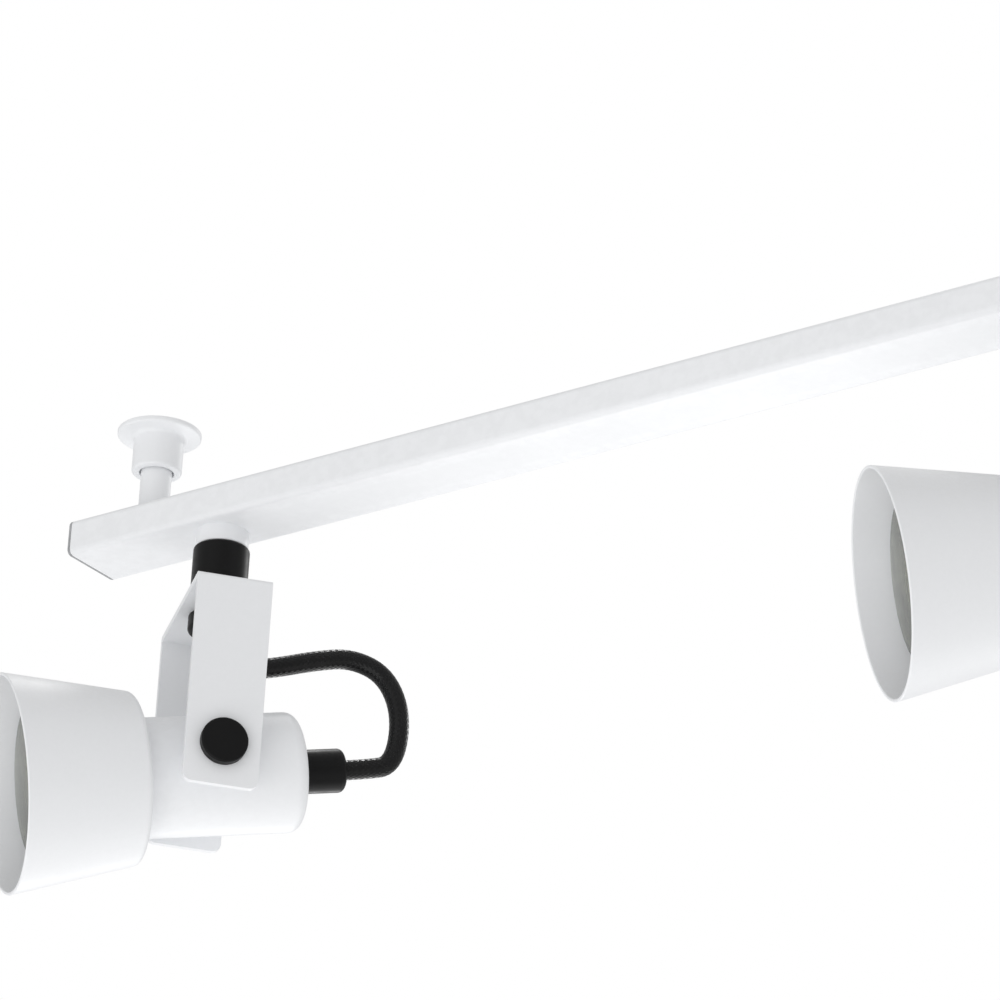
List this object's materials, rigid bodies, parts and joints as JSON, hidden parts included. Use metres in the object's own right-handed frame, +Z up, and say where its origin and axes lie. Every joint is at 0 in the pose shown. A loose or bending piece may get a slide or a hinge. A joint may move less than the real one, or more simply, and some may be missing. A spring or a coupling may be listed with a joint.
{
  "type": "track lighting fixture",
  "caption": "Ceiling bar on standoffs with swivelling yoke spotlights, conical shades, reflector bulbs, clamping knobs and looped cables.",
  "frame": {"origin": "on the ceiling plane, midway between the two ceiling flanges", "axes": "+X along the bar, -Y to the front that the lamps face, +Z up to the ceiling"},
  "size_m": [0.564, 0.1515, 0.2175],
  "materials": {
    "painted_white": "satin powder coat",
    "black_plastic": "fine moulded satin",
    "cable_black": "glossy braided sleeve",
    "grey_plastic": "moulded",
    "white_plastic": "moulded",
    "wire_insulation": "smooth",
    "rubber": "matte",
    "zinc_steel": "zinc plated",
    "cast_aluminium": "turned casting",
    "ceramic": "glazed",
    "brass": "pressed",
    "nickel": "nickel plated",
    "bulb_mirror": "aluminised glass",
    "bulb_glass": "pressed lens glass"
  },
  "bodies": {
    "bar": {"bar_tube": "painted_white", "bar_bosses": "painted_white", "stem_nuts": "zinc_steel", "grub_screws": "zinc_steel", "inlet_grommet": "rubber", "terminal_block": "white_plastic", "terminal_screws": "brass", "hollow_nipples": "zinc_steel", "nipple_nuts": "zinc_steel", "outlet_nuts": "black_plastic", "end_cap_left": "grey_plastic", "wires_left": "wire_insulation", "ceiling_flange_left": "painted_white", "standoff_stem_left": "painted_white", "swivel_sleeve_left": "black_plastic", "end_cap_right": "grey_plastic", "wires_right": "wire_insulation", "ceiling_flange_right": "painted_white", "standoff_stem_right": "painted_white", "swivel_sleeve_right": "black_plastic"},
    "yoke_left": {"yoke_left": "painted_white", "stop_pin_left": "zinc_steel", "spring_washer_left": "zinc_steel", "cable_left": "cable_black"},
    "head_left": {"lamp_housing_left": "painted_white", "front_ring_left": "cast_aluminium", "shade_left": "painted_white", "shade_screws_left": "zinc_steel", "lampholder_left": "ceramic", "shell_contact_left": "brass", "centre_contact_left": "brass", "cable_gland_left": "black_plastic", "gland_nut_left": "black_plastic", "pivot_bosses_left": "painted_white", "pivot_washers_left": "black_plastic"},
    "front_knob_left": {"front_knob_left": "black_plastic"},
    "rear_knob_left": {"rear_knob_left": "black_plastic"},
    "bulb_left": {"bulb_cap_left": "nickel", "bulb_reflector_left": "bulb_mirror", "bulb_lens_left": "bulb_glass"},
    "yoke_right": {"yoke_right": "painted_white", "stop_pin_right": "zinc_steel", "spring_washer_right": "zinc_steel", "cable_right": "cable_black"},
    "head_right": {"lamp_housing_right": "painted_white", "front_ring_right": "cast_aluminium", "shade_right": "painted_white", "shade_screws_right": "zinc_steel", "lampholder_right": "ceramic", "shell_contact_right": "brass", "centre_contact_right": "brass", "cable_gland_right": "black_plastic", "gland_nut_right": "black_plastic", "pivot_bosses_right": "painted_white", "pivot_washers_right": "black_plastic"},
    "front_knob_right": {"front_knob_right": "black_plastic"},
    "rear_knob_right": {"rear_knob_right": "black_plastic"},
    "bulb_right": {"bulb_cap_right": "nickel", "bulb_reflector_right": "bulb_mirror", "bulb_lens_right": "bulb_glass"}
  },
  "joints": [
    {"name": "pan_left", "type": "hinge", "parent": "bar", "child": "yoke_left", "pos_m": [-0.2065, 0, -0.0856], "axis": [0, 0, 1], "range_deg": [-125.5, 204.5]},
    {"name": "tilt_left", "type": "hinge", "parent": "yoke_left", "child": "head_left", "pos_m": [-0.2065, 0, -0.1568], "axis": [0.7716, -0.6361, 0], "range_deg": [-41.5, 63.5], "deforming": ["cable_left"]},
    {"name": "front_knob_turn_left", "type": "hinge", "parent": "head_left", "child": "front_knob_left", "pos_m": [-0.17965, -0.02214, -0.1568], "axis": [0.7716, -0.6361, 0], "range_deg": [0, 360]},
    {"name": "rear_knob_turn_left", "type": "hinge", "parent": "head_left", "child": "rear_knob_left", "pos_m": [-0.23335, 0.02214, -0.1568], "axis": [-0.7716, 0.6361, 0], "range_deg": [0, 360]},
    {"name": "bulb_out_left", "type": "slide", "parent": "head_left", "child": "bulb_left", "axis": [-0.6233, -0.7561, -0.1994], "range_m": [0, 0.03]},
    {"name": "pan_right", "type": "hinge", "parent": "bar", "child": "yoke_right", "pos_m": [0.2065, 0, -0.0856], "axis": [0, 0, 1], "range_deg": [-119, 211]},
    {"name": "tilt_right", "type": "hinge", "parent": "yoke_right", "child": "head_right", "pos_m": [0.2065, 0, -0.1568], "axis": [0.6947, -0.7193, 0], "range_deg": [-43.5, 61.5], "deforming": ["cable_right"]},
    {"name": "front_knob_turn_right", "type": "hinge", "parent": "head_right", "child": "front_knob_right", "pos_m": [0.23067, -0.02503, -0.1568], "axis": [0.6947, -0.7193, 0], "range_deg": [0, 360]},
    {"name": "rear_knob_turn_right", "type": "hinge", "parent": "head_right", "child": "rear_knob_right", "pos_m": [0.18233, 0.02503, -0.1568], "axis": [-0.6947, 0.7193, 0], "range_deg": [0, 360]},
    {"name": "bulb_out_right", "type": "slide", "parent": "head_right", "child": "bulb_right", "axis": [-0.6995, -0.6755, -0.2334], "range_m": [0, 0.03]}
  ]
}
